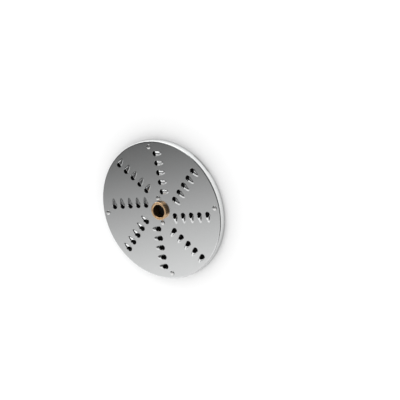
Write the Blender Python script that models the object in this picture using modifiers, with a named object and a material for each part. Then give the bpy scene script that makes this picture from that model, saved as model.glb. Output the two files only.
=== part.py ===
"""Grating disc of a bench vegetable machine.

A drawn stainless pan carries eight rows of punched teeth. A cast spider under
it holds the bronze bush that slides on the machine's shaft, and six rivets
join the two. The disc lies teeth up, on the lower edge of its skirt, at z = 0.
Sizes are in metres.
"""
import math

import bmesh
import bpy
from mathutils import Matrix, Vector

# Gap between pieces that touch on the real disc
SEAT_GAP = 0.0003

# Drawn pan: the grating plate and its turned-down skirt
PLATE_RADIUS = 0.1025
SHEET = 0.0010
BEND_RADIUS = 0.0020
SKIRT_DEPTH = 0.0105
NOTCH_START = math.radians(30.0)
NOTCH_END = math.radians(47.5)
NOTCH_DEPTH = 0.0023

# Hub: bronze bush pressed in the spider's boss
BORE_RADIUS = 0.0095
BUSH_WALL = 0.0037
BUSH_STAND = 0.0050
BUSH_CHAMFER = 0.0007
HUB_RECESS = 0.0005
BOSS_WALL = 0.0073
BOSS_CHAMFER = 0.0008

# Slot across the hub's underside for the cross pin of the drive shaft
DRIVE_SLOT_WIDTH = 0.0060
DRIVE_SLOT_DEPTH = 0.0035
DRIVE_SLOT_ANGLE = math.radians(45.0)

# Spider arms
ARMS = 4
ARM_WIDTH = 0.0088
ARM_WAIST = 0.0074
ARM_DEPTH = 0.0042
ARM_DRAFT = 0.0004
ARM_EYE_RADIUS = 0.0055
RIB_WIDTH = 0.0030
RIB_DEPTH = 0.0030
RIB_TO_EYE = 0.0180

# Rivets
RIM_RIVET_INSET = 0.0082
HUB_RIVET_INSET = 0.00515
RIVET_SHANK_RADIUS = 0.0020
RIVET_HEAD_RADIUS = 0.0038
RIVET_HEAD_HEIGHT = 0.0012
RIVET_TAIL_RADIUS = 0.0033
RIVET_TAIL_HEIGHT = 0.0014
SPOT_FACE_RADIUS = 0.0041
SPOT_FACE_DEPTH = 0.0002

# Teeth: a round hole whose rear half is lifted into an arched lip
ROWS = 8
TEETH_PER_ROW = 5
ROW_SHIFTS = (0, 2, 1, 3)
TOOTH_HOLE_RADIUS = 0.0040
TOOTH_LIP_HEIGHT = 0.0032
TOOTH_TAIL = 0.0070
TOOTH_TO_ARM = 0.0003
TOOTH_TO_BOSS = 0.0008
TOOTH_TO_RIM = 0.0116
LIP_ARCH_POWER = 1.2
TAIL_POWER = 4
TAIL_SWELL = 0.12

# Facets
RIM_STEPS = 96
HUB_STEPS = 48
RIVET_STEPS = 16
BEND_STEPS = 3
LIP_STEPS = 10
FRONT_STEPS = 6
EYE_STEPS = 10
HEAD_STEPS = 3

# Sizes that follow from the ones above
PLATE_TOP = SKIRT_DEPTH
CARRIER_TOP = PLATE_TOP - SHEET - SEAT_GAP
ARM_UNDERSIDE = CARRIER_TOP - ARM_DEPTH
BUSH_RADIUS = BORE_RADIUS + BUSH_WALL
BUSH_HOLE_RADIUS = BUSH_RADIUS + SEAT_GAP
BOSS_RADIUS = BUSH_RADIUS + BOSS_WALL
RIM_RIVET_RADIUS = PLATE_RADIUS - RIM_RIVET_INSET
HUB_RIVET_RADIUS = BUSH_RADIUS + HUB_RIVET_INSET
RIVET_HOLE_RADIUS = RIVET_SHANK_RADIUS + SEAT_GAP
RIVET_SEAT = ARM_UNDERSIDE + SPOT_FACE_DEPTH
ROW_SETBACK = ARM_WIDTH / 2 + TOOTH_TO_ARM + TOOTH_HOLE_RADIUS
ROW_START = math.sqrt((BOSS_RADIUS + TOOTH_TO_BOSS + TOOTH_HOLE_RADIUS) ** 2 - ROW_SETBACK ** 2)
ROW_END = PLATE_RADIUS - TOOTH_TO_RIM
SHIFTS_PER_PITCH = len(ROW_SHIFTS)
TOOTH_PITCH = (ROW_END - ROW_START) / (TEETH_PER_ROW - 1 + max(ROW_SHIFTS) / SHIFTS_PER_PITCH)

FULL_TURN = 2 * math.pi
CUT_MARGIN = 0.0020


def empty_scene():
    """Remove every object that the file opened with."""
    for scene_object in list(bpy.data.objects):
        bpy.data.objects.remove(scene_object, do_unlink=True)


def new_collection(name):
    """Return a collection linked to the scene."""
    collection = bpy.data.collections.new(name)
    bpy.context.scene.collection.children.link(collection)
    return collection


def metal(name, colour, roughness):
    """Return a bare metal material."""
    material = bpy.data.materials.new(name)
    material.use_nodes = True
    shader = material.node_tree.nodes["Principled BSDF"]
    shader.inputs["Base Color"].default_value = (*colour, 1.0)
    shader.inputs["Metallic"].default_value = 1.0
    shader.inputs["Roughness"].default_value = roughness
    return material


def mesh_object(name, bm, collection, material=None):
    """Turn a bmesh into a smooth shaded object."""
    mesh = bpy.data.meshes.new(name)
    bm.to_mesh(mesh)
    bm.free()
    mesh.shade_smooth()
    mesh.set_sharp_from_angle(angle=math.radians(30.0))
    if material is not None:
        mesh.materials.append(material)
    made = bpy.data.objects.new(name, mesh)
    collection.objects.link(made)
    return made


def hide_cutter(cutter):
    """Show a cutter as wire, out of renders."""
    cutter.hide_render = True
    cutter.display_type = "WIRE"
    return cutter


def combine(target, other, operation):
    """Add a Boolean modifier that joins or cuts with another object."""
    modifier = target.modifiers.new(other.name, "BOOLEAN")
    modifier.operation = operation
    modifier.solver = "EXACT"
    modifier.object = other


def turned(name, profile, steps, collection, material=None, closed=True):
    """Turn a profile of (radius, height) points about Z.

    The points run down the outer side. A closed profile makes a ring, and an
    open one starts and ends on the axis.
    """
    bm = bmesh.new()
    points = [bm.verts.new((radius, 0.0, height)) for radius, height in profile]
    for first, second in zip(points, points[1:]):
        bm.edges.new((first, second))
    if closed:
        bm.edges.new((points[-1], points[0]))
    made = mesh_object(name, bm, collection, material)
    screw = made.modifiers.new("turning", "SCREW")
    screw.axis = "Z"
    screw.angle = FULL_TURN
    screw.steps = steps
    screw.render_steps = steps
    screw.use_merge_vertices = True
    screw.merge_threshold = 0.00001
    return made


def upright_cylinder(bm, x, y, low, high, radius, steps):
    """Add a closed cylinder between two heights to a bmesh."""
    place = Matrix.Translation((x, y, (low + high) / 2))
    bmesh.ops.create_cone(bm, cap_ends=True, segments=steps, radius1=radius, radius2=radius,
                          depth=high - low, matrix=place)


def polar(radius, angle, height=0.0):
    """Return the point at a radius and an angle from +X."""
    return Vector((radius * math.cos(angle), radius * math.sin(angle), height))


def rivet_places():
    """Return the name and place of each rivet's axis."""
    places = []
    for index in range(ARMS):
        angle = FULL_TURN * index / ARMS
        places.append((f"rim_rivet_{index + 1}", polar(RIM_RIVET_RADIUS, angle)))
    for index, angle in enumerate((math.pi / 2, -math.pi / 2)):
        places.append((f"hub_rivet_{index + 1}", polar(HUB_RIVET_RADIUS, angle)))
    return places


def tooth_frames():
    """Return each tooth's frame: +X to its tail, +Y outwards from the hub, +Z up."""
    frames = []
    for row in range(ROWS):
        angle = FULL_TURN * row / ROWS
        outwards = polar(1.0, angle)
        rearwards = polar(1.0, angle - math.pi / 2)
        shift = ROW_SHIFTS[row % len(ROW_SHIFTS)] / SHIFTS_PER_PITCH
        for place in range(TEETH_PER_ROW):
            radius = ROW_START + (place + shift) * TOOTH_PITCH
            centre = outwards * radius + rearwards * ROW_SETBACK
            centre.z = PLATE_TOP
            frame = Matrix((rearwards, outwards, Vector((0.0, 0.0, 1.0)))).transposed().to_4x4()
            frame.translation = centre
            frames.append(frame)
    return frames


def lip_point(angle, rise):
    """Return a point of the lifted half of a tooth, in its own frame.

    The angle runs round the hole's rear half, from 0 to pi. The rise is 0 where
    the bulge leaves the plate and 1 at the cutting lip.
    """
    tail = TOOTH_TAIL * math.sin(angle) ** TAIL_POWER
    along = TOOTH_HOLE_RADIUS * math.sin(angle) + tail * (1.0 - rise)
    across = TOOTH_HOLE_RADIUS * math.cos(angle)
    swell = TAIL_SWELL * math.sin(math.pi * rise)
    height = TOOTH_LIP_HEIGHT * math.sin(angle) ** LIP_ARCH_POWER * (rise + swell)
    return Vector((along, across, height))


def front_point(angle):
    """Return a point of the hole's flat front half, in the tooth's own frame."""
    return Vector((TOOTH_HOLE_RADIUS * math.sin(angle), TOOTH_HOLE_RADIUS * math.cos(angle), 0.0))


def add_loop(bm, points):
    """Add a closed loop of edges to a bmesh and return its vertices."""
    loop = [bm.verts.new(point) for point in points]
    for first, second in zip(loop, loop[1:] + loop[:1]):
        bm.edges.new((first, second))
    return loop


def ring_points(radius, steps, centre):
    """Return evenly spaced points of a level circle."""
    return [centre + polar(radius, FULL_TURN * step / steps) for step in range(steps)]


def raise_tooth(bm, frame, heel):
    """Loft a tooth's bulge from its outline on the plate up to the cutting lip.

    The outline, heel, runs round the bulge from one side of the hole to the
    other, and both of its ends stay where they are.
    """
    steps = len(heel) - 1
    lower = heel
    for rise in (0.5, 1.0):
        inner = [bm.verts.new(frame @ lip_point(math.pi * step / steps, rise)) for step in range(1, steps)]
        upper = [heel[0], *inner, heel[-1]]
        for step in range(steps):
            corners = [lower[step], lower[step + 1], upper[step + 1], upper[step]]
            bm.faces.new(dict.fromkeys(corners))
        lower = upper


def turn_down_skirt(bm, rim):
    """Extrude the plate's round edge over the bend and down to the skirt's edge."""
    rings = []
    for step in range(1, BEND_STEPS + 1):
        angle = math.pi / 2 * step / BEND_STEPS
        radius = PLATE_RADIUS - BEND_RADIUS * (1.0 - math.sin(angle))
        rings.append((radius, PLATE_TOP - BEND_RADIUS * (1.0 - math.cos(angle))))
    rings.append((PLATE_RADIUS, 0.0))
    edges = [edge for edge in bm.edges if edge.verts[0] in rim and edge.verts[1] in rim]
    for radius, height in rings:
        made = bmesh.ops.extrude_edge_only(bm, edges=edges)["geom"]
        edges = [item for item in made if isinstance(item, bmesh.types.BMEdge)]
        for vert in (item for item in made if isinstance(item, bmesh.types.BMVert)):
            vert.co = polar(radius, math.atan2(vert.co.y, vert.co.x), height)


def notch_cutter(cutters):
    """Return the block that leaves the skirt shallower over one stretch."""
    middle = (NOTCH_START + NOTCH_END) / 2
    half_angle = (NOTCH_END - NOTCH_START) / 2
    inner = (PLATE_RADIUS - SHEET) * math.cos(half_angle) - CUT_MARGIN
    outer = PLATE_RADIUS + CUT_MARGIN
    width = 2 * PLATE_RADIUS * math.sin(half_angle)
    size = Matrix.Diagonal((outer - inner, width, NOTCH_DEPTH + CUT_MARGIN, 1.0))
    place = Matrix.Translation(((outer + inner) / 2, 0.0, (NOTCH_DEPTH - CUT_MARGIN) / 2))
    bm = bmesh.new()
    bmesh.ops.create_cube(bm, size=1.0, matrix=Matrix.Rotation(middle, 4, "Z") @ place @ size)
    return hide_cutter(mesh_object("skirt_notch_cutter", bm, cutters))


def build_plate(parts, cutters, material):
    """Make the pan as an open sheet surface, then give it its thickness."""
    level = Vector((0.0, 0.0, PLATE_TOP))
    bm = bmesh.new()
    rim = add_loop(bm, ring_points(PLATE_RADIUS - BEND_RADIUS, RIM_STEPS, level))
    add_loop(bm, ring_points(BUSH_HOLE_RADIUS, HUB_STEPS, level))
    for _, place in rivet_places():
        add_loop(bm, ring_points(RIVET_HOLE_RADIUS, RIVET_STEPS, place + level))
    heels = []
    for frame in tooth_frames():
        rear = [lip_point(math.pi * step / LIP_STEPS, 0.0) for step in range(LIP_STEPS + 1)]
        front = [front_point(math.pi * (1 + step / FRONT_STEPS)) for step in range(1, FRONT_STEPS)]
        outline = add_loop(bm, [frame @ point for point in rear + front])
        heels.append((frame, outline[:LIP_STEPS + 1]))
    bmesh.ops.triangle_fill(bm, edges=bm.edges[:], use_beauty=True, normal=(0.0, 0.0, 1.0))
    for frame, heel in heels:
        raise_tooth(bm, frame, heel)
    turn_down_skirt(bm, set(rim))
    bmesh.ops.recalc_face_normals(bm, faces=bm.faces[:])
    bm.faces.ensure_lookup_table()
    if bm.faces[0].normal.z < 0.0:
        bmesh.ops.reverse_faces(bm, faces=bm.faces[:])
    plate = mesh_object("grating_plate", bm, parts, material)
    sheet = plate.modifiers.new("sheet", "SOLIDIFY")
    sheet.thickness = SHEET
    sheet.offset = -1.0
    sheet.use_even_offset = True
    sheet.use_quality_normals = True
    combine(plate, notch_cutter(cutters), "DIFFERENCE")


def arm_outline():
    """Return an arm's outline seen from above: a tapered bar with a round eye."""
    root = BUSH_HOLE_RADIUS + BOSS_WALL / 2
    eye_start = math.asin(ARM_WAIST / 2 / ARM_EYE_RADIUS)
    points = [Vector((root, ARM_WIDTH / 2, 0.0)), Vector((root, -ARM_WIDTH / 2, 0.0))]
    for step in range(EYE_STEPS + 1):
        angle = eye_start - math.pi + (FULL_TURN - 2 * eye_start) * step / EYE_STEPS
        points.append(Vector((RIM_RIVET_RADIUS, 0.0, 0.0)) + polar(ARM_EYE_RADIUS, angle))
    return points


def drawn_in(point):
    """Move a point of an arm's outline towards the arm's middle by the casting's draft."""
    middle = Vector((min(point.x, RIM_RIVET_RADIUS), 0.0, 0.0))
    return point + (middle - point).normalized() * ARM_DRAFT


def arm_blanks(cutters):
    """Return the spider's arms, each drawn in towards its underside."""
    bm = bmesh.new()
    for index in range(ARMS):
        turn = Matrix.Rotation(FULL_TURN * index / ARMS, 4, "Z")
        outline = [bm.verts.new(point) for point in arm_outline()]
        top = bm.faces.new(outline)
        made = bmesh.ops.extrude_face_region(bm, geom=[top])["geom"]
        lower = [item for item in made if isinstance(item, bmesh.types.BMVert)]
        for vert in outline:
            vert.co = turn @ (vert.co + Vector((0.0, 0.0, CARRIER_TOP)))
        for vert in lower:
            vert.co = turn @ (drawn_in(vert.co) + Vector((0.0, 0.0, ARM_UNDERSIDE)))
    bmesh.ops.recalc_face_normals(bm, faces=bm.faces[:])
    return hide_cutter(mesh_object("arm_blanks", bm, cutters))


def rib_blanks(cutters):
    """Return the ribs that run out under the arms and die into them."""
    bm = bmesh.new()
    root = BUSH_HOLE_RADIUS + BOSS_WALL / 2
    end = RIM_RIVET_RADIUS - RIB_TO_EYE
    overlap = ARM_DEPTH / 2
    profile = ((root, ARM_UNDERSIDE + overlap), (end, ARM_UNDERSIDE + overlap),
               (end, ARM_UNDERSIDE), (root, ARM_UNDERSIDE - RIB_DEPTH))
    for index in range(ARMS):
        turn = Matrix.Rotation(FULL_TURN * index / ARMS, 4, "Z")
        corners = [bm.verts.new(turn @ Vector((radius, -RIB_WIDTH / 2, height))) for radius, height in profile]
        side = bm.faces.new(corners)
        made = bmesh.ops.extrude_face_region(bm, geom=[side])["geom"]
        across = turn @ Vector((0.0, RIB_WIDTH, 0.0))
        bmesh.ops.translate(bm, verts=[item for item in made if isinstance(item, bmesh.types.BMVert)], vec=across)
    bmesh.ops.recalc_face_normals(bm, faces=bm.faces[:])
    return hide_cutter(mesh_object("rib_blanks", bm, cutters))


def rivet_cutters(cutters):
    """Return the spot faces and the shank holes of all the rivets."""
    spots = bmesh.new()
    holes = bmesh.new()
    for _, place in rivet_places():
        upright_cylinder(spots, place.x, place.y, -CUT_MARGIN, RIVET_SEAT, SPOT_FACE_RADIUS, RIVET_STEPS)
        upright_cylinder(holes, place.x, place.y, -CUT_MARGIN, PLATE_TOP, RIVET_HOLE_RADIUS, RIVET_STEPS)
    return [hide_cutter(mesh_object("spot_face_cutters", spots, cutters)),
            hide_cutter(mesh_object("rivet_hole_cutters", holes, cutters))]


def drive_slot_cutter(cutters):
    """Return the bar that cuts the drive slot across the hub's underside."""
    length = 2 * (BOSS_RADIUS + CUT_MARGIN)
    high = HUB_RECESS + DRIVE_SLOT_DEPTH
    size = Matrix.Diagonal((length, DRIVE_SLOT_WIDTH, high + CUT_MARGIN, 1.0))
    place = Matrix.Translation((0.0, 0.0, (high - CUT_MARGIN) / 2))
    bm = bmesh.new()
    bmesh.ops.create_cube(bm, size=1.0, matrix=Matrix.Rotation(DRIVE_SLOT_ANGLE, 4, "Z") @ place @ size)
    return hide_cutter(mesh_object("drive_slot_cutter", bm, cutters))


def build_carrier(parts, cutters, slot, material):
    """Make the cast spider: a boss round the bush and four ribbed arms."""
    profile = ((BUSH_HOLE_RADIUS, CARRIER_TOP), (BOSS_RADIUS, CARRIER_TOP),
               (BOSS_RADIUS, HUB_RECESS + BOSS_CHAMFER), (BOSS_RADIUS - BOSS_CHAMFER, HUB_RECESS),
               (BUSH_HOLE_RADIUS, HUB_RECESS))
    carrier = turned("carrier_spider", profile, HUB_STEPS, parts, material)
    combine(carrier, arm_blanks(cutters), "UNION")
    combine(carrier, rib_blanks(cutters), "UNION")
    for cutter in rivet_cutters(cutters):
        combine(carrier, cutter, "DIFFERENCE")
    combine(carrier, slot, "DIFFERENCE")


def build_bush(parts, slot, material):
    """Make the bronze bush, chamfered at both ends of its bore."""
    top = PLATE_TOP + BUSH_STAND
    inner = BORE_RADIUS + BUSH_CHAMFER
    outer = BUSH_RADIUS - BUSH_CHAMFER
    profile = ((inner, top), (outer, top), (BUSH_RADIUS, top - BUSH_CHAMFER),
               (BUSH_RADIUS, HUB_RECESS + BUSH_CHAMFER), (outer, HUB_RECESS), (inner, HUB_RECESS),
               (BORE_RADIUS, HUB_RECESS + BUSH_CHAMFER), (BORE_RADIUS, top - BUSH_CHAMFER))
    bush = turned("hub_bush", profile, HUB_STEPS, parts, material)
    combine(bush, slot, "DIFFERENCE")


def dome(radius, height, seat):
    """Return the profile of a low domed head from its crown down to its edge."""
    sphere = (radius ** 2 + height ** 2) / (2 * height)
    spread = math.asin(radius / sphere)
    centre = seat + height - sphere
    angles = [spread * step / HEAD_STEPS for step in range(HEAD_STEPS + 1)]
    return [(sphere * math.sin(angle), centre + sphere * math.cos(angle)) for angle in angles]


def build_rivets(parts, material):
    """Make each rivet: a low domed head on the plate and a set tail under the arm."""
    head_seat = PLATE_TOP + SEAT_GAP
    tail_seat = RIVET_SEAT - SEAT_GAP
    tail = [(radius, -height) for radius, height in dome(RIVET_TAIL_RADIUS, RIVET_TAIL_HEIGHT, -tail_seat)]
    profile = [*dome(RIVET_HEAD_RADIUS, RIVET_HEAD_HEIGHT, head_seat), (RIVET_SHANK_RADIUS, head_seat),
               (RIVET_SHANK_RADIUS, tail_seat), *reversed(tail)]
    for name, place in rivet_places():
        rivet = turned(name, profile, RIVET_STEPS, parts, material, closed=False)
        rivet.location = place


def main():
    """Build the disc."""
    empty_scene()
    parts = new_collection("grating_disc")
    cutters = new_collection("grating_disc_cutters")
    stainless = metal("polished_stainless_sheet", (0.60, 0.61, 0.61), 0.25)
    cast = metal("cast_aluminium", (0.56, 0.57, 0.58), 0.55)
    bronze = metal("turned_bronze", (0.62, 0.36, 0.19), 0.30)
    rivet_steel = metal("stainless_rivet", (0.62, 0.62, 0.62), 0.25)
    slot = drive_slot_cutter(cutters)
    build_plate(parts, cutters, stainless)
    build_carrier(parts, cutters, slot, cast)
    build_bush(parts, slot, bronze)
    build_rivets(parts, rivet_steel)


main()
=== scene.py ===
"""Looks, stage and camera of a grating disc that lies teeth up on its skirt.

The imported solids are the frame. The drawn pan, the bush, the rivets and the
cast spider are modelled again here in finer form, in the same places. Sizes
are in metres.
"""
import logging
import math
from collections.abc import Callable, Iterator
from contextlib import contextmanager
from dataclasses import dataclass, field
from enum import Enum
from typing import Any

import bmesh
import bpy
from bpy.types import Light, Material, Node, NodeSocket, NodeTree, Object
from mathutils import Matrix, Vector


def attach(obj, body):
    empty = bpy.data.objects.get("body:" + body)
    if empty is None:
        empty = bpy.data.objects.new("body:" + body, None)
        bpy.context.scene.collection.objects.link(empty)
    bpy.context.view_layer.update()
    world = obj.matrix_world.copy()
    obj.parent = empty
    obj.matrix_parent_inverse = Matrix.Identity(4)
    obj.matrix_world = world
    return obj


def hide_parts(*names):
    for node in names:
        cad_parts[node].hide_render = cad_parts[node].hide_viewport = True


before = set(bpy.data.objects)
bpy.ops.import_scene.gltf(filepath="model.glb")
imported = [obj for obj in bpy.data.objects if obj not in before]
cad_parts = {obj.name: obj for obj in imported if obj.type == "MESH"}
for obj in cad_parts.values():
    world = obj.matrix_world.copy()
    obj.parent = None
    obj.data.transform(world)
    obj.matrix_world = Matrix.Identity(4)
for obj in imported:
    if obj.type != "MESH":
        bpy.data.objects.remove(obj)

log = logging.getLogger("grating_disc")

MM = 0.001
FULL_TURN = 2 * math.pi
QUARTER_TURN = math.pi / 2
DISC_AXIS = Vector((0.0, 0.0, 0.0))
BODY = "root"
WELD_DISTANCE = 0.002 * MM
# Two angles closer than this are one angle
ANGLE_SLACK = 0.001
# The fill operator takes points closer than 0.03 units for one, so it works on an enlarged mesh
FILL_SCALE = 1000.0
SMOOTH_ANGLE = math.radians(35.0)
FLAT_FACE_WEIGHT = 90

# The curve between an sRGB value and linear light
SRGB_KNEE, SRGB_SLOPE, SRGB_OFFSET, SRGB_POWER = 0.04045, 12.92, 0.055, 2.4
# Inputs of the Mix node that have no name of their own
MIX_SHARE, FIRST_VALUE, SECOND_VALUE, FIRST_COLOUR, SECOND_COLOUR = 0, 2, 3, 6, 7
MIXED_COLOUR = 2
# A lamp's parametric coordinate runs along its height on this axis, from its upper edge down
LAMP_HEIGHT_AXIS = 1


class Slot(Enum):
    """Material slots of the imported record."""

    SHEET = "stainless_sheet"
    CASTING = "cast_aluminium"
    BUSH = "bronze"
    RIVET = "rivet_steel"


class Element(Enum):
    """What is selected in edit mode."""

    EDGE = "EDGE"
    POINT = "VERT"


# Modelling helpers


def choose(piece: Object) -> None:
    """Make one object the only one selected, and active.

    Args:
        piece: The object.
    """
    bpy.ops.object.select_all(action="DESELECT")
    piece.select_set(True)
    bpy.context.view_layer.objects.active = piece


@contextmanager
def editing(piece: Object) -> Iterator[None]:
    """Keep one object in edit mode for a while.

    Args:
        piece: The mesh object to edit.
    """
    choose(piece)
    bpy.ops.object.mode_set(mode="EDIT")
    yield
    bpy.ops.object.mode_set(mode="OBJECT")


def pick(piece: Object, wanted: Callable[[Any], bool], kind: Element = Element.EDGE) -> None:
    """Select the edges or points of the edited mesh that pass a test, and no others.

    Args:
        piece: The object in edit mode.
        wanted: Tells whether an edge or a point is selected.
        kind: Whether edges or points are selected.
    """
    bpy.ops.mesh.select_mode(type=kind.value)
    bpy.ops.mesh.select_all(action="DESELECT")
    mesh = bmesh.from_edit_mesh(piece.data)
    for item in mesh.edges if kind is Element.EDGE else mesh.verts:
        if wanted(item):
            item.select_set(True)
    bmesh.update_edit_mesh(piece.data)


def finish_modifier(piece: Object, kind: str, **settings: Any) -> None:
    """Add a modifier with its settings and apply it.

    Args:
        piece: The object to change.
        kind: The modifier's type.
        **settings: Values of the modifier's properties.
    """
    choose(piece)
    modifier = piece.modifiers.new(kind.lower(), kind)
    for name, value in settings.items():
        setattr(modifier, name, value)
    bpy.ops.object.modifier_apply(modifier=modifier.name)


def join(pieces: list[Object]) -> Object:
    """Join objects into one.

    Args:
        pieces: The objects.

    Returns:
        The first of them, which holds them all.
    """
    choose(pieces[0])
    for piece in pieces:
        piece.select_set(True)
    bpy.ops.object.join()
    return pieces[0]


def settle(piece: Object) -> None:
    """Put an object's place, turn and scale into its mesh."""
    choose(piece)
    bpy.ops.object.transform_apply(location=True, rotation=True, scale=True)


def copy_at(piece: Object, place: Matrix) -> Object:
    """Copy an object with its own mesh.

    Args:
        piece: The object to copy.
        place: The transform that the copy's mesh gets.

    Returns:
        The copy, at the origin.
    """
    copy = piece.copy()
    copy.data = piece.data.copy()
    copy.data.transform(place)
    bpy.context.scene.collection.objects.link(copy)
    return copy


def cut(piece: Object, tools: list[Object]) -> None:
    """Cut tools out of an object.

    Args:
        piece: The object to cut.
        tools: The tools, which are removed.
    """
    for tool in tools:
        finish_modifier(piece, "BOOLEAN", operation="DIFFERENCE", solver="EXACT", object=tool)
        bpy.data.objects.remove(tool, do_unlink=True)


def close_seams(piece: Object) -> None:
    """Merge doubled points and turn every face outwards.

    Args:
        piece: The object, a closed shell.
    """
    with editing(piece):
        bpy.ops.mesh.select_all(action="SELECT")
        bpy.ops.mesh.remove_doubles(threshold=WELD_DISTANCE)
        bpy.ops.mesh.normals_make_consistent(inside=False)


def shade(piece: Object) -> None:
    """Shade a piece smooth over its soft corners, with its flats kept flat.

    Args:
        piece: The finished piece.
    """
    choose(piece)
    bpy.ops.object.shade_smooth_by_angle(angle=SMOOTH_ANGLE)
    finish_modifier(piece, "WEIGHTED_NORMAL", mode="FACE_AREA", weight=FLAT_FACE_WEIGHT,
                    keep_sharp=True)


def extrude_ring(shift: float, growth: float) -> None:
    """Extrude the selected edges along the disc's axis and widen them about it."""
    bpy.ops.mesh.extrude_edges_move(TRANSFORM_OT_translate={"value": (0.0, 0.0, shift)})
    bpy.ops.transform.resize(value=(growth, growth, 1.0), center_override=(0.0, 0.0, 0.0))


def coat(piece: Object, material: Material) -> None:
    """Give a piece one material and no other."""
    piece.data.materials.clear()
    piece.data.materials.append(material)


def polar(radius: float, angle: float, height: float = 0.0) -> Vector:
    """Return the point at a radius and an angle from +X."""
    return Vector((radius * math.cos(angle), radius * math.sin(angle), height))


# Material helpers


def linear(code: str) -> tuple[float, float, float, float]:
    """Turn an sRGB hex colour to linear values.

    Args:
        code: The colour as "#RRGGBB".

    Returns:
        Red, green and blue in linear light, then a full alpha.
    """
    channels = (int(code[place:place + 2], 16) / 255 for place in (1, 3, 5))
    red, green, blue = (
        value / SRGB_SLOPE if value <= SRGB_KNEE
        else ((value + SRGB_OFFSET) / (1 + SRGB_OFFSET)) ** SRGB_POWER
        for value in channels)
    return red, green, blue, 1.0


def add_node(tree: NodeTree, kind: str, inputs: dict[Any, Any] | None = None,
             **settings: Any) -> Node:
    """Add a node with its settings, values and links.

    Args:
        tree: The node tree.
        kind: The node's type.
        inputs: Values or output sockets, by input name or number.
        **settings: Values of the node's properties.

    Returns:
        The node.
    """
    node = tree.nodes.new(kind)
    for name, value in settings.items():
        setattr(node, name, value)
    for key, value in (inputs or {}).items():
        if isinstance(value, NodeSocket):
            tree.links.new(value, node.inputs[key])
        else:
            node.inputs[key].default_value = value
    return node


def noise(tree: NodeTree, place: NodeSocket, scale: float, detail: float) -> NodeSocket:
    """Return a noise with a scale in features per metre and layers of finer detail."""
    return add_node(tree, "ShaderNodeTexNoise",
                    {"Vector": place, "Scale": scale, "Detail": detail}).outputs[0]


def between(tree: NodeTree, value: NodeSocket, low: float, high: float,
            start: float = 0.3, end: float = 0.7) -> NodeSocket:
    """Spread a pattern between two limits.

    Args:
        tree: The node tree.
        value: The pattern. Most of a noise lies between start and end.
        low: What start becomes.
        high: What end becomes.
        start: The pattern's value that gives low.
        end: The pattern's value that gives high.

    Returns:
        The new value.
    """
    limits = {"From Min": start, "From Max": end, "To Min": low, "To Max": high}
    return add_node(tree, "ShaderNodeMapRange", {"Value": value, **limits}).outputs[0]


def combine(tree: NodeTree, operation: str, *values: Any) -> NodeSocket:
    """Return what a Math node makes of some values or sockets."""
    return add_node(tree, "ShaderNodeMath", dict(enumerate(values)),
                    operation=operation).outputs[0]


def blend(tree: NodeTree, share: NodeSocket, first: str, second: str) -> NodeSocket:
    """Return the blend of two sRGB hex colours, by the share of the second."""
    ends = {FIRST_COLOUR: linear(first), SECOND_COLOUR: linear(second)}
    return add_node(tree, "ShaderNodeMix", {MIX_SHARE: share, **ends},
                    data_type="RGBA").outputs[MIXED_COLOUR]


def start_material(name: str) -> tuple[Material, NodeTree, NodeSocket]:
    """Make a material whose node tree holds only the place on the object.

    Args:
        name: What the real material is.

    Returns:
        The material, its node tree and the place's socket.
    """
    material = bpy.data.materials.new(name)
    material.use_nodes = True
    tree = material.node_tree
    tree.nodes.clear()
    return material, tree, add_node(tree, "ShaderNodeTexCoord").outputs["Object"]


def bare_metal(tree: NodeTree, roughness: NodeSocket, colour: Any, relief: NodeSocket,
               depth: float) -> None:
    """Add the surface of a bare metal and the material's output.

    Args:
        tree: The node tree.
        roughness: The roughness.
        colour: A colour or a socket.
        relief: The pattern that raises the surface.
        depth: How far it raises it.
    """
    bump = add_node(tree, "ShaderNodeBump",
                    {"Height": relief, "Strength": 1.0, "Distance": depth})
    shader = add_node(tree, "ShaderNodeBsdfPrincipled",
                      {"Base Color": colour, "Metallic": 1.0, "Roughness": roughness,
                       "Normal": bump.outputs[0]})
    add_node(tree, "ShaderNodeOutputMaterial", {"Surface": shader.outputs[0]})


@dataclass(frozen=True)
class RolledStainless:
    """Cold-rolled stainless sheet, pressed and lightly polished.

    The eye gets a soft grey mirror: blurred reflections, a faint rolled grain
    along one direction and slight cloudiness from handling and washing.
    """

    colour: str = "#D0D1D1"
    roughness: float = 0.20
    grain_roughness: float = 0.01
    clear: float = -0.008
    clouded: float = 0.012
    cloud: float = 0.045 / MM
    grain_across: float = 1.0 / (0.35 * MM)
    grain_along: float = 1.0 / (14.0 * MM)
    grain_depth: float = 0.0012 * MM

    def make(self) -> Material:
        """Build the material.

        Returns:
            The material.
        """
        material, tree, place = start_material("rolled_stainless_sheet")
        stretch = (self.grain_across, self.grain_along, self.grain_across)
        stretched = add_node(tree, "ShaderNodeMapping", {"Vector": place, "Scale": stretch})
        grain = noise(tree, stretched.outputs[0], 1.0, 3.0)
        fine = between(tree, grain, self.roughness - self.grain_roughness,
                       self.roughness + self.grain_roughness)
        clouds = noise(tree, place, self.cloud, 4.0)
        rough = combine(tree, "ADD", fine, between(tree, clouds, self.clear, self.clouded))
        bare_metal(tree, rough, linear(self.colour), grain, self.grain_depth)
        return material


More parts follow.
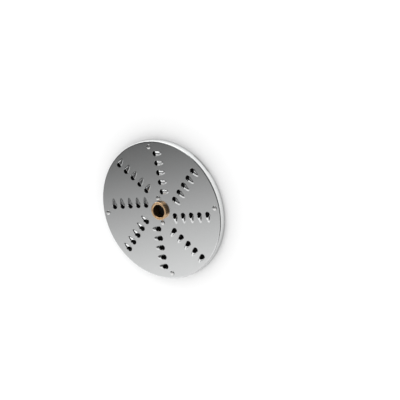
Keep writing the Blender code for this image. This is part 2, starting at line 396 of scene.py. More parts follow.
@dataclass(frozen=True)
class TurnedBronze:
    """Bearing bronze, turned on a lathe.

    The eye gets a warm tan metal with fine rings on its faces and a dull
    brown tarnish that varies over it.
    """

    fresh: str = "#F1D3AC"
    tarnished: str = "#D6AB7F"
    smooth: float = 0.16
    rough: float = 0.28
    patch: float = 0.25 / MM
    ring_pitch: float = 0.30 * MM
    ring_depth: float = 0.006 * MM
    ring_waver: float = 0.4
    # At scale 1, the Wave Texture node's wave turns by this many radians per metre
    wave_turn: float = 20.0

    def make(self) -> Material:
        """Build the material.

        Returns:
            The material.
        """
        material, tree, place = start_material("turned_bearing_bronze")
        scale = FULL_TURN / (self.wave_turn * self.ring_pitch)
        rings = add_node(tree, "ShaderNodeTexWave",
                         {"Vector": place, "Scale": scale, "Distortion": self.ring_waver,
                          "Detail": 1.0}, wave_type="RINGS", rings_direction="SPHERICAL")
        patches = noise(tree, place, self.patch, 5.0)
        colour = blend(tree, between(tree, patches, 0.0, 1.0), self.fresh, self.tarnished)
        bare_metal(tree, between(tree, patches, self.smooth, self.rough), colour,
                   rings.outputs["Fac"], self.ring_depth)
        return material


@dataclass(frozen=True)
class RivetSteel:
    """Stainless rivet, its head set by a smooth punch.

    The eye gets a bright low dome with a few small tool marks.
    """

    colour: str = "#D4D4D3"
    smooth: float = 0.14
    rough: float = 0.23
    mark_size: float = 0.8 / MM
    mark_depth: float = 0.006 * MM

    def make(self) -> Material:
        """Build the material.

        Returns:
            The material.
        """
        material, tree, place = start_material("set_stainless_rivet")
        marks = noise(tree, place, self.mark_size, 2.0)
        bare_metal(tree, between(tree, marks, self.smooth, self.rough), linear(self.colour),
                   marks, self.mark_depth)
        return material


@dataclass(frozen=True)
class CastAluminium:
    """Die-cast aluminium, left as cast.

    The eye gets a matt pale grey metal with a fine granular skin and faint
    cloudy flow marks.
    """

    colour: str = "#BBBDBE"
    stained: str = "#A3A5A6"
    smooth: float = 0.44
    rough: float = 0.58
    grit: float = 2.2 / MM
    grit_depth: float = 0.03 * MM
    flow: float = 0.06 / MM

    def make(self) -> Material:
        """Build the material.

        Returns:
            The material.
        """
        material, tree, place = start_material("as_cast_aluminium")
        grit = noise(tree, place, self.grit, 3.0)
        flow = noise(tree, place, self.flow, 4.0)
        colour = blend(tree, between(tree, flow, 0.0, 1.0), self.colour, self.stained)
        bare_metal(tree, between(tree, grit, self.smooth, self.rough), colour, grit,
                   self.grit_depth)
        return material


# Sizes shared by the pieces, as in the solids


@dataclass(frozen=True)
class DiscSizes:
    """Sizes that more than one piece of the disc needs."""

    plate_radius: float = 102.5 * MM
    sheet: float = 1.0 * MM
    plate_top: float = 10.5 * MM
    seat_gap: float = 0.3 * MM
    bore_radius: float = 9.5 * MM
    bush_wall: float = 3.7 * MM
    bush_stand: float = 5.0 * MM
    hub_recess: float = 0.5 * MM
    boss_wall: float = 7.3 * MM
    arm_depth: float = 4.2 * MM
    arm_width: float = 8.8 * MM
    rim_rivet_inset: float = 8.2 * MM
    hub_rivet_inset: float = 5.15 * MM
    rivet_shank_radius: float = 2.0 * MM
    spot_face_depth: float = 0.2 * MM
    drive_slot_width: float = 6.0 * MM
    drive_slot_depth: float = 3.5 * MM
    drive_slot_angle: float = math.radians(45.0)
    drive_slot_overrun: float = 2.0 * MM
    arms: int = 4

    @property
    def bush_radius(self) -> float:
        """Outer radius of the bush."""
        return self.bore_radius + self.bush_wall

    @property
    def boss_radius(self) -> float:
        """Outer radius of the spider's boss."""
        return self.bush_radius + self.boss_wall

    @property
    def carrier_top(self) -> float:
        """Height of the spider's upper face."""
        return self.plate_top - self.sheet - self.seat_gap

    @property
    def rim_rivet_radius(self) -> float:
        """Distance of the rim rivets from the disc's axis."""
        return self.plate_radius - self.rim_rivet_inset

    @property
    def rivet_seat(self) -> float:
        """Height of the spot faces under the arms."""
        return self.carrier_top - self.arm_depth + self.spot_face_depth

    def rivet_places(self) -> dict[str, Vector]:
        """Place the rivets.

        Returns:
            The place of each rivet's axis, by the name of its node.
        """
        places = {f"rim_rivet_{index + 1}": polar(self.rim_rivet_radius,
                                                  FULL_TURN * index / self.arms)
                  for index in range(self.arms)}
        hub_radius = self.bush_radius + self.hub_rivet_inset
        places["hub_rivet_1"] = polar(hub_radius, QUARTER_TURN)
        places["hub_rivet_2"] = polar(hub_radius, -QUARTER_TURN)
        return places

    def drive_slot_tool(self) -> Object:
        """Make the bar that cuts the drive slot across the hub's underside.

        Returns:
            The bar.
        """
        top, overrun = self.hub_recess + self.drive_slot_depth, self.drive_slot_overrun
        bpy.ops.mesh.primitive_cube_add(size=1.0, location=(0.0, 0.0, (top - overrun) / 2),
                                        rotation=(0.0, 0.0, self.drive_slot_angle))
        tool = bpy.context.object
        tool.scale = (2 * (self.boss_radius + overrun), self.drive_slot_width, top + overrun)
        settle(tool)
        return tool


@dataclass
class Tooth:
    """One punched tooth: a round hole whose rear half is drawn up to a lip.

    Its own frame has +X to the tail, +Y outwards from the hub, +Z up and the
    origin at the hole's centre on the plate. A turn is an angle round the
    hole: the rear half runs from 0 to pi.
    """

    hole_radius: float = 4.0 * MM
    lip_height: float = 3.2 * MM
    tail: float = 7.0 * MM
    arch_power: float = 1.2
    tail_power: float = 2.5
    swell: float = 0.05
    foot: float = 0.15
    guard: float = 0.45 * MM
    guard_shares: tuple[float, ...] = (0.5, 1.0)
    around: int = 72
    foot_rows: int = 4
    lift_rows: int = 8
    lip_thinning: float = 0.55

    def drawn_point(self, turn: float, rise: float) -> Vector:
        """Return a point of the bulge.

        Args:
            turn: Angle round the hole's rear half.
            rise: 0 where the bulge leaves the plate and 1 at the lip.

        Returns:
            The point in the tooth's frame.
        """
        sine = max(math.sin(turn), 0.0)
        along = self.hole_radius * sine + self.tail * sine ** self.tail_power * (1.0 - rise)
        swollen = rise + self.swell * math.sin(math.pi * rise)
        height = self.lip_height * sine ** self.arch_power * swollen
        return Vector((along, self.hole_radius * math.cos(turn), height))

    def edge_point(self, turn: float) -> Vector:
        """Return a point of the tooth's outline on the plate, before its foot is rounded.

        Args:
            turn: Angle round the hole.

        Returns:
            The point.
        """
        if turn <= math.pi:
            return self.drawn_point(turn, 0.0)
        return Vector((self.hole_radius * math.sin(turn), self.hole_radius * math.cos(turn), 0.0))

    def outwards(self, turn: float) -> Vector:
        """Return the level direction that leads straight away from the outline.

        Args:
            turn: Angle round the hole.

        Returns:
            The direction.
        """
        step = math.pi / self.around
        ahead = self.edge_point((turn + step) % FULL_TURN)
        run = ahead - self.edge_point((turn - step) % FULL_TURN)
        return Vector((-run.y, run.x, 0.0)).normalized()

    def foot_width(self, turn: float) -> float:
        """Return how far the rounded foot reaches out past the outline.

        Args:
            turn: Angle round the hole.

        Returns:
            The width, which is nothing at the hole's front edge.
        """
        if turn > math.pi:
            return 0.0
        return self.foot * (self.drawn_point(turn, 1.0) - self.drawn_point(turn, 0.0)).length

    def foot_point(self, turn: float) -> Vector:
        """Return the point where the foot or the hole's front edge meets the flat plate."""
        return self.edge_point(turn) + self.outwards(turn) * self.foot_width(turn)

    def guard_row(self, share: float) -> Callable[[float], Vector]:
        """Return a row of the flat band that runs round the tooth."""
        return lambda turn: self.foot_point(turn) + self.outwards(turn) * self.guard * share

    def foot_row(self, share: float) -> Callable[[float], Vector]:
        """Return a row of the foot, a curve from the flat plate into the bulge.

        Args:
            share: How far along the curve the row lies.

        Returns:
            The row's points as a function of the turn.
        """

        def point(turn: float) -> Vector:
            """Return the curve's point at a turn."""
            start, bend = self.foot_point(turn), self.edge_point(turn)
            end, rest = self.drawn_point(turn, self.foot), 1 - share
            return start * rest ** 2 + bend * 2 * share * rest + end * share ** 2

        return point

    def lift_row(self, rise: float) -> Callable[[float], Vector]:
        """Return a row of the bulge above its foot."""
        return lambda turn: self.drawn_point(turn, rise)

    def rows(self) -> list[tuple[Callable[[float], Vector], float]]:
        """List the rows from the foot to the lip.

        Returns:
            Each row's points, as a function of the turn, and its share of the
            sheet's thickness.
        """
        made = [(self.foot_row(row / self.foot_rows), 1.0)
                for row in range(1, self.foot_rows + 1)]
        for row in range(1, self.lift_rows + 1):
            rise = self.foot + (1.0 - self.foot) * row / self.lift_rows
            made.append((self.lift_row(rise), 1.0 - self.lip_thinning * rise ** 2))
        return made

    def model(self) -> Object:
        """Model the tooth as an open surface, with a seam on its outer edge.

        Returns:
            The tooth, with its vertex group "sheet" for the wall's thickness.
        """
        bpy.ops.mesh.primitive_circle_add(vertices=self.around, radius=self.hole_radius,
                                          fill_type="NOTHING")
        tooth = bpy.context.object
        tooth.name = "tooth"
        with editing(tooth):
            self.place_outline(tooth)
            pick(tooth, lambda edge: True)
            for share in self.guard_shares:
                self.extrude_row(tooth, self.guard_row(share), 1.0)
            bpy.ops.mesh.mark_seam(clear=False)
            pick(tooth, lambda edge: not edge.seam and self.at_rear(tooth, edge))
            for row, share in self.rows():
                self.extrude_row(tooth, row, share)
            bpy.ops.mesh.select_all(action="SELECT")
            bpy.ops.mesh.remove_doubles(threshold=WELD_DISTANCE)
        self.weigh(tooth)
        return tooth

    def place_outline(self, tooth: Object) -> None:
        """Note each point's turn round the hole and move it to the outline.

        Args:
            tooth: The object in edit mode.
        """
        mesh = bmesh.from_edit_mesh(tooth.data)
        turns = mesh.verts.layers.float.new("turn")
        shares = mesh.verts.layers.float.new("share")
        for vert in mesh.verts:
            vert[turns] = math.atan2(vert.co.x, vert.co.y) % FULL_TURN
            vert[turns] = 0.0 if vert[turns] > FULL_TURN - ANGLE_SLACK else vert[turns]
            vert[shares] = 1.0
            vert.co = self.foot_point(vert[turns])
        bmesh.update_edit_mesh(tooth.data)

    def at_rear(self, tooth: Object, edge: bmesh.types.BMEdge) -> bool:
        """Tell whether an edge runs along the bulge's foot.

        Args:
            tooth: The object in edit mode.
            edge: The edge.

        Returns:
            Whether it does.
        """
        turns = bmesh.from_edit_mesh(tooth.data).verts.layers.float["turn"]
        ends = [vert[turns] for vert in edge.verts]
        on_outline = all((vert.co - self.foot_point(vert[turns])).length < WELD_DISTANCE
                         for vert in edge.verts)
        return on_outline and max(ends) < math.pi + ANGLE_SLACK and ends[0] != ends[1]

    def extrude_row(self, tooth: Object, place: Callable[[float], Vector], share: float) -> None:
        """Extrude the selected edges and move the new points to a row.

        Args:
            tooth: The object in edit mode.
            place: The row's points as a function of the turn.
            share: The row's share of the sheet's thickness. Only the bulge is thinned, and it
                ends at half a turn.
        """
        bpy.ops.mesh.extrude_edges_move()
        mesh = bmesh.from_edit_mesh(tooth.data)
        turns = mesh.verts.layers.float["turn"]
        shares = mesh.verts.layers.float["share"]
        for vert in mesh.verts:
            if vert.select:
                vert.co = place(min(vert[turns], math.pi) if share < 1.0 else vert[turns])
                vert[shares] = share
        bmesh.update_edit_mesh(tooth.data)

    def weigh(self, tooth: Object) -> None:
        """Turn the noted shares of thickness into a vertex group.

        Args:
            tooth: The tooth.
        """
        group = tooth.vertex_groups.new(name="sheet")
        shares = [item.value for item in tooth.data.attributes["share"].data]
        for index, share in enumerate(shares):
            group.add([index], share, "REPLACE")
        for name in ("turn", "share"):
            tooth.data.attributes.remove(tooth.data.attributes[name])


@dataclass
class GratingPlate:
    """The drawn pan: a flat plate with rows of teeth and a turned-down skirt."""

    sizes: DiscSizes
    finish: RolledStainless = field(default_factory=RolledStainless)
    tooth: Tooth = field(default_factory=Tooth)
    bend_radius: float = 2.0 * MM
    notch_start: float = math.radians(30.0)
    notch_end: float = math.radians(47.5)
    notch_depth: float = 2.3 * MM
    hub_gap: float = 0.06 * MM
    rivet_gap: float = 0.05 * MM
    rows: int = 8
    teeth_per_row: int = 5
    row_shifts: tuple[int, ...] = (0, 2, 1, 3)
    tooth_to_arm: float = 0.3 * MM
    tooth_to_boss: float = 0.8 * MM
    tooth_to_rim: float = 11.6 * MM
    rim_steps: int = 288
    hub_steps: int = 144
    rivet_steps: int = 48
    bend_steps: int = 8
    edge_round: float = 0.12 * MM
    round_past: float = math.radians(60.0)

    def tooth_places(self) -> list[Matrix]:
        """Place the teeth beside the spider's arms and midway between them.

        Returns:
            The transform of each tooth.
        """
        hole = self.tooth.hole_radius
        setback = self.sizes.arm_width / 2 + self.tooth_to_arm + hole
        nearest = self.sizes.boss_radius + self.tooth_to_boss + hole
        start = math.sqrt(nearest ** 2 - setback ** 2)
        end = self.sizes.plate_radius - self.tooth_to_rim
        shifts = len(self.row_shifts)
        pitch = (end - start) / (self.teeth_per_row - 1 + max(self.row_shifts) / shifts)
        places = []
        for row in range(self.rows):
            shift = self.row_shifts[row % shifts] / shifts
            turned = Matrix.Rotation(FULL_TURN * row / self.rows - QUARTER_TURN, 4, "Z")
            for index in range(self.teeth_per_row):
                place = (setback, start + (index + shift) * pitch, self.sizes.plate_top)
                places.append(turned @ Matrix.Translation(place))
        return places

    def loop(self, radius: float, steps: int, place: Vector) -> Object:
        """Make a round loop of edges level with the plate.

        Args:
            radius: The loop's radius.
            steps: How many edges it has.
            place: Its centre, at any height.

        Returns:
            The loop.
        """
        centre = (place.x, place.y, self.sizes.plate_top)
        bpy.ops.mesh.primitive_circle_add(vertices=steps, radius=radius, fill_type="NOTHING",
                                          location=centre)
        made = bpy.context.object
        settle(made)
        group = made.vertex_groups.new(name="sheet")
        group.add(list(range(steps)), 1.0, "REPLACE")
        return made

    def model_surface(self) -> Object:
        """Lay out every loop and tooth and fill the plate between them.

        Returns:
            The plate's upper surface, without its skirt.
        """
        sizes = self.sizes
        loops = [self.loop(sizes.plate_radius - self.bend_radius, self.rim_steps, DISC_AXIS),
                 self.loop(sizes.bush_radius + self.hub_gap, self.hub_steps, DISC_AXIS)]
        for place in sizes.rivet_places().values():
            loops.append(self.loop(sizes.rivet_shank_radius + self.rivet_gap, self.rivet_steps,
                                   place))
        pattern = self.tooth.model()
        teeth = [copy_at(pattern, place) for place in self.tooth_places()]
        bpy.data.objects.remove(pattern, do_unlink=True)
        plate = join(loops + teeth)
        plate.name = "drawn_grating_plate"
        plate.data.transform(Matrix.Scale(FILL_SCALE, 4))
        with editing(plate):
            pick(plate, lambda edge: edge.seam or not edge.link_faces)
            bpy.ops.mesh.fill(use_beauty=True)
            bpy.ops.mesh.select_all(action="SELECT")
            bpy.ops.mesh.mark_seam(clear=True)
            bpy.ops.mesh.normals_make_consistent(inside=False)
        plate.data.transform(Matrix.Scale(1.0 / FILL_SCALE, 4))
        if max(plate.data.polygons, key=lambda face: face.area).normal.z < 0.0:
            plate.data.flip_normals()
        return plate

    def turn_down(self, plate: Object) -> None:
        """Extrude the plate's edge over the bend and down, short of the notch.

        Args:
            plate: The plate's surface.
        """
        inner = self.sizes.plate_radius - self.bend_radius
        rim = inner - self.edge_round
        with editing(plate):
            pick(plate, lambda edge: edge.is_boundary and edge.verts[0].co.xy.length > rim)
            radius, height = inner, self.sizes.plate_top
            for step in range(1, self.bend_steps + 1):
                angle = QUARTER_TURN * step / self.bend_steps
                new_radius = inner + self.bend_radius * math.sin(angle)
                new_height = self.sizes.plate_top - self.bend_radius * (1.0 - math.cos(angle))
                extrude_ring(new_height - height, new_radius / radius)
                radius, height = new_radius, new_height
            extrude_ring(self.notch_depth - height, 1.0)
            mesh = bmesh.from_edit_mesh(plate.data)
            for edge in [edge for edge in mesh.edges if edge.select and self.in_notch(edge)]:
                edge.select_set(False)
            bmesh.update_edit_mesh(plate.data)
            extrude_ring(-self.notch_depth, 1.0)

    def in_notch(self, edge: bmesh.types.BMEdge) -> bool:
        """Tell whether an edge lies in the notch's stretch."""
        middle = (edge.verts[0].co + edge.verts[1].co) / 2
        return self.notch_start < math.atan2(middle.y, middle.x) < self.notch_end

    def build(self) -> Object:
        """Build the plate, give it its thickness and dress it.

        Returns:
            The plate.
        """
        plate = self.model_surface()
        self.turn_down(plate)
        group = plate.vertex_groups["sheet"]
        unweighed = [vert.index for vert in plate.data.vertices if not vert.groups]
        group.add(unweighed, 1.0, "REPLACE")
        finish_modifier(plate, "SOLIDIFY", thickness=self.sizes.sheet, offset=-1.0,
                        vertex_group="sheet", use_quality_normals=True)
        finish_modifier(plate, "BEVEL", width=self.edge_round, segments=2, limit_method="ANGLE",
                        angle_limit=self.round_past, use_clamp_overlap=False)
        plate.vertex_groups.clear()
        shade(plate)
        coat(plate, self.finish.make())
        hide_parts("grating_plate")
        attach(plate, BODY)
        return plate


@dataclass
class HubBush:
    """The bronze bush, turned and chamfered."""

    sizes: DiscSizes
    finish: TurnedBronze = field(default_factory=TurnedBronze)
    chamfer: float = 0.7 * MM
    edge_round: float = 0.12 * MM
    steps: int = 160

    def build(self) -> Object:
        """Spin the wall's section about the axis, cut the drive slot and dress the bush.

        Returns:
            The bush.
        """
        sizes = self.sizes
        height = sizes.plate_top + sizes.bush_stand - sizes.hub_recess
        middle = (sizes.bore_radius + sizes.bush_wall / 2, 0.0, sizes.hub_recess + height / 2)
        bpy.ops.mesh.primitive_plane_add(size=1.0, rotation=(QUARTER_TURN, 0.0, 0.0),
                                         location=middle)
        bush = bpy.context.object
        bush.name = "turned_hub_bush"
        bush.scale = (sizes.bush_wall, height, 1.0)
        settle(bush)
        with editing(bush):
            for offset, segments in ((self.chamfer, 1), (self.edge_round, 3)):
                bpy.ops.mesh.select_all(action="SELECT")
                bpy.ops.mesh.bevel(offset=offset, segments=segments, affect="VERTICES",
                                   offset_type="OFFSET")
            bpy.ops.mesh.select_all(action="SELECT")
            bpy.ops.mesh.delete(type="ONLY_FACE")
            bpy.ops.mesh.select_all(action="SELECT")
            bpy.ops.mesh.spin(steps=self.steps, angle=FULL_TURN, center=(0.0, 0.0, 0.0),
                              axis=(0.0, 0.0, 1.0))
        close_seams(bush)
        cut(bush, [sizes.drive_slot_tool()])
        shade(bush)
        coat(bush, self.finish.make())
        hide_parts("hub_bush")
        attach(bush, BODY)
        return bush


@dataclass
class Rivets:
    """The six set rivets, modelled once and copied."""

    sizes: DiscSizes
    finish: RivetSteel = field(default_factory=RivetSteel)
    head_radius: float = 3.5 * MM
    head_height: float = 1.2 * MM
    head_lift: float = 0.04 * MM
    tail_radius: float = 3.3 * MM
    tail_height: float = 1.4 * MM
    rim_round: float = 0.15 * MM
    steps: int = 48
    dome_steps: int = 12
    crown_power: float = 0.85
    crown_flat: float = 0.02

    def dome(self, radius: float, height: float) -> list[tuple[float, float]]:
        """Lay out the rings of a head, round at its rim and low at its crown.

        Args:
            radius: The head's radius.
            height: The head's height.

        Returns:
            The rings as radius and height, from the rim up.
        """
        angles = [QUARTER_TURN * step / self.dome_steps for step in range(self.dome_steps)]
        rings = [(radius * math.cos(angle), height * math.sin(angle) ** self.crown_power)
                 for angle in angles]
        return rings + [(self.crown_flat * radius, height)]

    def rings(self) -> list[tuple[float, float]]:
        """Lay out a whole rivet on the disc's axis.

        Returns:
            Its rings as radius and height, from its crown down.
        """
        shank = self.sizes.rivet_shank_radius
        head_seat = self.sizes.plate_top + self.head_lift
        tail_seat = self.sizes.rivet_seat - self.head_lift
        above_rim = 1 - self.rim_round / self.head_height
        head = [(radius, head_seat + self.rim_round + height * above_rim)
                for radius, height in self.dome(self.head_radius, self.head_height)]
        tail = [(radius, tail_seat - height)
                for radius, height in self.dome(self.tail_radius, self.tail_height)]
        return [*reversed(head), (self.head_radius - self.rim_round, head_seat),
                (shank, head_seat), (shank, tail_seat), *tail]

    def model(self) -> Object:
        """Model one rivet on the disc's axis, ring by ring from its crown down.

        Returns:
            The rivet.
        """
        (radius, height), *others = self.rings()
        bpy.ops.mesh.primitive_circle_add(vertices=self.steps, radius=radius, fill_type="NGON",
                                          location=(0.0, 0.0, height))
        rivet = bpy.context.object
        rivet.name = "rivet"
        settle(rivet)
        with editing(rivet):
            for new_radius, new_height in others:
                pick(rivet, lambda edge: edge.is_boundary)
                extrude_ring(new_height - height, new_radius / radius)
                radius, height = new_radius, new_height
            bpy.ops.mesh.edge_face_add()
        close_seams(rivet)
        return rivet

    def build(self) -> list[Object]:
        """Model the rivet, copy it to each place and dress the copies.

        Returns:
            The rivets.
        """
        pattern = self.model()
        material = self.finish.make()
        made = []
        for node, place in self.sizes.rivet_places().items():
            rivet = copy_at(pattern, Matrix.Translation(place))
            rivet.name = f"set_{node}"
            shade(rivet)
            coat(rivet, material)
            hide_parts(node)
            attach(rivet, BODY)
            made.append(rivet)
        bpy.data.objects.remove(pattern, do_unlink=True)
        return made


@dataclass
class Spider:
    """The cast spider under the plate: a boss round the bush and four ribbed arms.

    The casting has soft corners. Its seats, holes and slot are machined.
    """

    sizes: DiscSizes
    finish: CastAluminium = field(default_factory=CastAluminium)
    arm_waist: float = 7.4 * MM
    eye_radius: float = 5.5 * MM
    draft: float = 0.4 * MM
    rib_width: float = 3.0 * MM
    rib_depth: float = 3.0 * MM
    rib_to_eye: float = 18.0 * MM
    rib_sink: float = 2.0 * MM
    allowance: float = 0.8 * MM
    underside_allowance: float = 0.1 * MM
    spot_face_radius: float = 4.1 * MM
    plate_clearance: float = 0.04 * MM
    bush_clearance: float = 0.06 * MM
    rivet_clearance: float = 0.05 * MM
    grain_size: float = 0.45 * MM
    corner_softness: float = 0.5
    corner_passes: int = 6
    steps: int = 96
    room: float = 10.0 * MM

    @property
    def top(self) -> float:
        """Height of the machined seat that the plate lies on."""
        return self.sizes.plate_top - self.sizes.sheet - self.plate_clearance

    @property
    def arm_underside(self) -> float:
        """Height of the arms' underside."""
        return self.sizes.carrier_top - self.sizes.arm_depth

    @property
    def arm_root(self) -> float:
        """Distance from the axis at which an arm starts inside the boss."""
        return self.sizes.bush_radius + self.sizes.boss_wall / 2

    @staticmethod
    def block(low: tuple[float, float, float], high: tuple[float, float, float]) -> Object:
        """Make a block between two corners, as a start for a casting or a tool.

        Args:
            low: The lowest corner.
            high: The highest corner.

        Returns:
            The block.
        """
        bpy.ops.mesh.primitive_cube_add(size=1.0, location=(Vector(low) + Vector(high)) / 2)
        made = bpy.context.object
        made.scale = Vector(high) - Vector(low)
        settle(made)
        return made

    def drum(self, radius: float, low: float, high: float, place: Vector = DISC_AXIS) -> Object:
        """Make an upright drum, as a start for a casting or a tool.

        Args:
            radius: The drum's radius.
            low: The height of its underside.
            high: The height of its top.
            place: A point on its axis.

        Returns:
            The drum.
        """
        bpy.ops.mesh.primitive_cylinder_add(vertices=self.steps, radius=radius, depth=high - low,
                                            location=(place.x, place.y, (low + high) / 2))
        made = bpy.context.object
        settle(made)
        return made

    @staticmethod
    def narrow(piece: Object, wanted: Callable[[bmesh.types.BMVert], bool], share: float) -> None:
        """Draw the chosen points of an arm in towards its middle line.

        Args:
            piece: The arm.
            wanted: Tells whether a point is drawn in.
            share: What is left of its distance from the middle line.
        """
        with editing(piece):
            pick(piece, wanted, Element.POINT)
            bpy.ops.transform.resize(value=(1.0, share, 1.0), center_override=(0.0, 0.0, 0.0))

    def cast_bar(self, under: float, top: float) -> Object:
        """Model the arm's bar, narrower at its end and, for its draft, at its underside.

        Args:
            under: The height of its underside.
            top: The height of its top.

        Returns:
            The bar.
        """
        end, half = self.sizes.rim_rivet_radius, self.sizes.arm_width / 2
        bar = self.block((self.arm_root, -half, under), (end, half, top))
        self.narrow(bar, lambda vert: vert.co.x > end - WELD_DISTANCE, self.arm_waist / (2 * half))
        self.narrow(bar, lambda vert: vert.co.z < under + WELD_DISTANCE, 1.0 - self.draft / half)
        return bar

    def cast_rib(self, under: float) -> Object:
        """Model the rib that runs along the arm's underside and dies into it.

        Args:
            under: The height of the arm's underside.

        Returns:
            The rib.
        """
        end, half = self.sizes.rim_rivet_radius - self.rib_to_eye, self.rib_width / 2
        rib = self.block((self.arm_root, -half, under - self.rib_depth),
                         (end, half, under + self.rib_sink))
        with editing(rib):
            pick(rib, lambda vert: vert.co.z < under and vert.co.x > end - WELD_DISTANCE,
                 Element.POINT)
            bpy.ops.transform.translate(value=(0.0, 0.0, self.rib_depth))
        return rib

    def casting(self) -> Object:
        """Join the boss and the arms into one skin with soft corners.

        Returns:
            The casting before it is machined.
        """
        sizes, top, under = self.sizes, self.top + self.allowance, self.arm_underside
        boss = self.drum(sizes.boss_radius, sizes.hub_recess - self.underside_allowance, top)
        bar = self.cast_bar(under, top)
        eye = self.drum(self.eye_radius, under, top, polar(sizes.rim_rivet_radius, 0.0))
        arm = join([bar, eye, self.cast_rib(under)])
        arms = [copy_at(arm, Matrix.Rotation(FULL_TURN * index / sizes.arms, 4, "Z"))
                for index in range(sizes.arms)]
        bpy.data.objects.remove(arm, do_unlink=True)
        spider = join([boss, *arms])
        spider.name = "cast_carrier_spider"
        finish_modifier(spider, "REMESH", mode="VOXEL", voxel_size=self.grain_size)
        finish_modifier(spider, "SMOOTH", factor=self.corner_softness,
                        iterations=self.corner_passes)
        return spider

    def machine(self, spider: Object) -> None:
        """Cut the seats, the bore, the rivet holes with their spot faces, and the drive slot.

        Args:
            spider: The casting.
        """
        sizes, room, far = self.sizes, self.room, self.sizes.plate_radius
        above, below = self.top + room, sizes.hub_recess - room
        shank = sizes.rivet_shank_radius + self.rivet_clearance
        places = list(sizes.rivet_places().values())
        cut(spider, [
            self.block((-far, -far, self.top), (far, far, above)),
            self.block((-far, -far, below), (far, far, sizes.hub_recess)),
            self.drum(sizes.bush_radius + self.bush_clearance, -room, above),
            join([self.drum(self.spot_face_radius, -room, sizes.rivet_seat, place)
                  for place in places]),
            join([self.drum(shank, -room, above, place) for place in places]),
            sizes.drive_slot_tool(),
        ])

    def build(self) -> Object:
        """Cast and machine the spider and dress it.

        Returns:
            The spider.
        """
        spider = self.casting()
        self.machine(spider)
        shade(spider)
        coat(spider, self.finish.make())
        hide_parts("carrier_spider")
        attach(spider, BODY)
        return spider


# Stage


@dataclass(frozen=True)
class SoftLamp:
    """A square soft lamp that only lights, and doesn't show.

    Its azimuth, elevation and distance are from the middle of the plate. Its
    upper edge lies across the direction up, and shift moves it that way. A
    lamp whose dim is below 1 falls off to that share of its brightness
    between two shares of its height, fade_start and fade_end.
    """

    name: str
    azimuth: float
    elevation: float
    distance: float
    width: float
    height: float
    brightness: float
    up: tuple[float, float, float] = (0.0, 0.0, 1.0)
    shift: float = 0.0
    dim: float = 1.0
    fade_start: float = 0.0
    fade_end: float = 1.0

    def fade(self, data: Light) -> None:
        """Let the lamp's brightness fall off towards its upper edge.

        Args:
            data: The lamp's data.
        """
        data.use_nodes = True
        tree = data.node_tree
        tree.nodes.clear()
        across = add_node(tree, "ShaderNodeNewGeometry").outputs["Parametric"]
        down = add_node(tree, "ShaderNodeSeparateXYZ", {0: across}).outputs[LAMP_HEIGHT_AXIS]
        strength = between(tree, down, 1.0, self.dim, 1.0 - self.fade_end, 1.0 - self.fade_start)
        glow = add_node(tree, "ShaderNodeEmission", {"Strength": strength})
        add_node(tree, "ShaderNodeOutputLight", {"Surface": glow.outputs[0]})

    def build(self) -> None:
        """Place the lamp, facing the plate."""
        turn, lift = math.radians(self.azimuth), math.radians(self.elevation)
        back = polar(math.cos(lift), turn, math.sin(lift))
        upper = (Vector(self.up) - back * back.dot(Vector(self.up))).normalized()
        data = bpy.data.lights.new(self.name, "AREA")
        data.shape = "RECTANGLE"
        data.size, data.size_y = self.width, self.height
        data.energy = self.brightness * math.pi * self.width * self.height
        if self.dim < 1.0:
            self.fade(data)
        lamp = bpy.data.objects.new(self.name, data)
        lamp.matrix_world = Matrix((upper.cross(back), upper, back)).transposed().to_4x4()
        lamp.location = back * self.distance + upper * self.shift
        lamp.visible_camera = False
        bpy.context.scene.collection.objects.link(lamp)


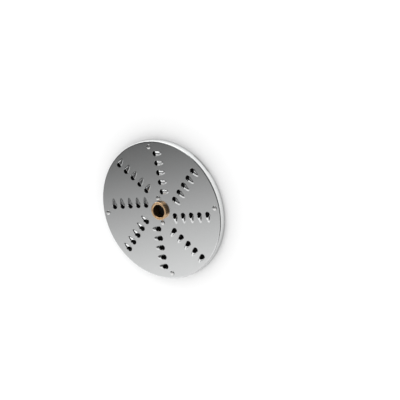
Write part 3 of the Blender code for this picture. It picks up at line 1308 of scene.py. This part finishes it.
@dataclass
class Studio:
    """Plain floor with painted shade under the disc and a painted reflection round it, soft lamps,
    world and the camera.
    """

    floor_size: float = 12.0
    floor_drop: float = 0.05 * MM
    floor_colour: str = "#EDEDED"
    # Painted shade: the floor under the disc is dark grey, fading to the floor's colour just past
    # the rim
    floor_painted_shade: str = "#2C2C2C"
    floor_painted_shade_to: float = 97.0 * MM
    floor_lift: float = 0.38
    floor_lift_start: float = 104.0 * MM
    floor_lift_end: float = 252.0 * MM
    # Painted reflection: a floor glow that only mirrors see, from the rim outwards, brighter
    # towards +Y than towards -Y
    floor_painted_reflection: float = 0.70
    floor_painted_reflection_front: float = 0.05
    floor_painted_reflection_spread: float = 90.0 * MM
    floor_painted_reflection_start: float = 102.0 * MM
    floor_painted_reflection_end: float = 106.0 * MM
    room_light: float = 0.90
    room_in_metal: float = 0.10
    lens: float = 171.0
    camera_place: tuple[float, float, float] = (1.6047, 0.5352, 2.1525)
    camera_right: tuple[float, float, float] = (0.8203, -0.1770, -0.5438)
    camera_up: tuple[float, float, float] = (0.0355, 0.9648, -0.2606)
    camera_back: tuple[float, float, float] = (0.5708, 0.1945, 0.7977)
    # Name, azimuth, elevation, distance, width, height and brightness
    lamps: tuple[SoftLamp, ...] = (
        SoftLamp("softbox_above", 92.0, 31.0, 1.2, 0.8, 0.9, 1.15),
        SoftLamp("strip_above", 105.0, 8.5, 1.4, 2.4, 0.42, 1.9),
        SoftLamp("front_panel", 198.4, 51.7, 0.6, 1.2, 0.94, 1.06, up=(0.0, 1.0, 0.0),
                 shift=-0.33, dim=0.13, fade_start=0.05, fade_end=0.295),
        SoftLamp("card_below", 246.0, 10.0, 1.1, 1.8, 0.40, 0.6),
        SoftLamp("side_card", 291.0, 33.0, 1.1, 0.5, 0.6, 0.87),
        SoftLamp("top_panel", 125.0, 70.0, 1.1, 0.35, 0.55, 0.35),
        SoftLamp("far_card", 10.0, 14.0, 1.2, 2.0, 0.5, 0.35),
    )

    @staticmethod
    def outside(tree: NodeTree, place: NodeSocket, start: float, end: float) -> NodeSocket:
        """Return a value that goes from 0 to 1 between two distances from the disc's axis."""
        distance = add_node(tree, "ShaderNodeVectorMath", {0: place}, operation="LENGTH")
        return between(tree, distance.outputs["Value"], 0.0, 1.0, start, end)

    def floor_paper(self, tree: NodeTree, place: NodeSocket) -> NodeSocket:
        """Add the floor's matt paper, with painted shade: dark grey where the disc covers it.

        Args:
            tree: The node tree.
            place: The place on the floor.

        Returns:
            The shader.
        """
        # Painted shade: the floor's colour turns dark grey where the disc covers it
        uncovered = self.outside(tree, place, self.floor_painted_shade_to, self.floor_lift_start)
        colour = blend(tree, uncovered, self.floor_painted_shade, self.floor_colour)
        return add_node(tree, "ShaderNodeBsdfDiffuse", {"Color": colour}).outputs[0]

    def floor_glow(self, tree: NodeTree, place: NodeSocket) -> NodeSocket:
        """Add the glow that lifts the floor to white where it is seen, and a painted reflection: a
        glow that only glossy and transmission rays see, from the disc's rim outwards, brighter
        behind the disc than in front.

        Args:
            tree: The node tree.
            place: The place on the floor.

        Returns:
            The shader.
        """
        path = add_node(tree, "ShaderNodeLightPath").outputs
        lift = self.outside(tree, place, self.floor_lift_start, self.floor_lift_end)
        seen = combine(tree, "MULTIPLY", path["Is Camera Ray"], lift)
        seen_lift = combine(tree, "MULTIPLY", seen, self.floor_lift)
        # Painted reflection: glossy and transmission rays see extra glow past the rim, more behind
        # the disc than in front
        near = self.outside(tree, place, self.floor_painted_reflection_start, self.floor_painted_reflection_end)
        mirror = combine(tree, "MAXIMUM", path["Is Glossy Ray"], path["Is Transmission Ray"])
        mirrored = combine(tree, "MULTIPLY", mirror, near)
        rear = add_node(tree, "ShaderNodeSeparateXYZ", {0: place}).outputs["Y"]
        painted_reflection_strength = between(tree, rear, self.floor_painted_reflection_front, self.floor_painted_reflection,
                        -self.floor_painted_reflection_spread, self.floor_painted_reflection_spread)
        strength = combine(tree, "MULTIPLY_ADD", mirrored, painted_reflection_strength, seen_lift)
        return add_node(tree, "ShaderNodeEmission", {"Strength": strength}).outputs[0]

    def build_floor(self) -> None:
        """Lay the pale floor, with painted shade under the disc and a painted reflection round it.
        """
        bpy.ops.mesh.primitive_plane_add(size=self.floor_size,
                                         location=(0.0, 0.0, -self.floor_drop))
        floor = bpy.context.object
        floor.name = "studio_floor"
        material, tree, place = start_material("matt_white_paper")
        both = add_node(tree, "ShaderNodeAddShader",
                        {0: self.floor_paper(tree, place), 1: self.floor_glow(tree, place)})
        add_node(tree, "ShaderNodeOutputMaterial", {"Surface": both.outputs[0]})
        floor.data.materials.append(material)

    def build_world(self) -> None:
        """Fill the room with even light: dim where metal mirrors it, white to the camera."""
        world = bpy.data.worlds.new("studio")
        bpy.context.scene.world = world
        world.use_nodes = True
        tree = world.node_tree
        tree.nodes.clear()
        path = add_node(tree, "ShaderNodeLightPath").outputs
        unseen = between(tree, path["Is Glossy Ray"], self.room_light, self.room_in_metal,
                         0.0, 1.0)
        strength = add_node(tree, "ShaderNodeMix", {MIX_SHARE: path["Is Camera Ray"],
                                                    FIRST_VALUE: unseen, SECOND_VALUE: 1.0})
        light = add_node(tree, "ShaderNodeBackground", {"Strength": strength.outputs[0]})
        add_node(tree, "ShaderNodeOutputWorld", {"Surface": light.outputs[0]})

    def build_camera(self) -> None:
        """Set up the camera at the photograph's angle."""
        data = bpy.data.cameras.new("camera")
        data.lens = self.lens
        camera = bpy.data.objects.new("camera", data)
        camera.location = self.camera_place
        axes = Matrix((self.camera_right, self.camera_up, self.camera_back)).transposed()
        camera.rotation_euler = axes.to_euler()
        bpy.context.scene.collection.objects.link(camera)
        bpy.context.scene.camera = camera

    def build(self) -> None:
        """Build the whole stage."""
        bpy.context.scene.view_settings.view_transform = "Standard"
        self.build_camera()
        self.build_world()
        self.build_floor()
        for lamp in self.lamps:
            lamp.build()


def main() -> None:
    """Build the stage and the disc, and log each piece's face count."""
    logging.basicConfig(level=logging.INFO, format="%(message)s")
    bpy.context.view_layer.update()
    sizes = DiscSizes()
    Studio().build()
    pieces = [GratingPlate(sizes).build(), HubBush(sizes).build(), *Rivets(sizes).build(),
              Spider(sizes).build()]
    for piece in pieces:
        log.info("%s: %d faces", piece.name, len(piece.data.polygons))


if __name__ == "__main__":
    main()
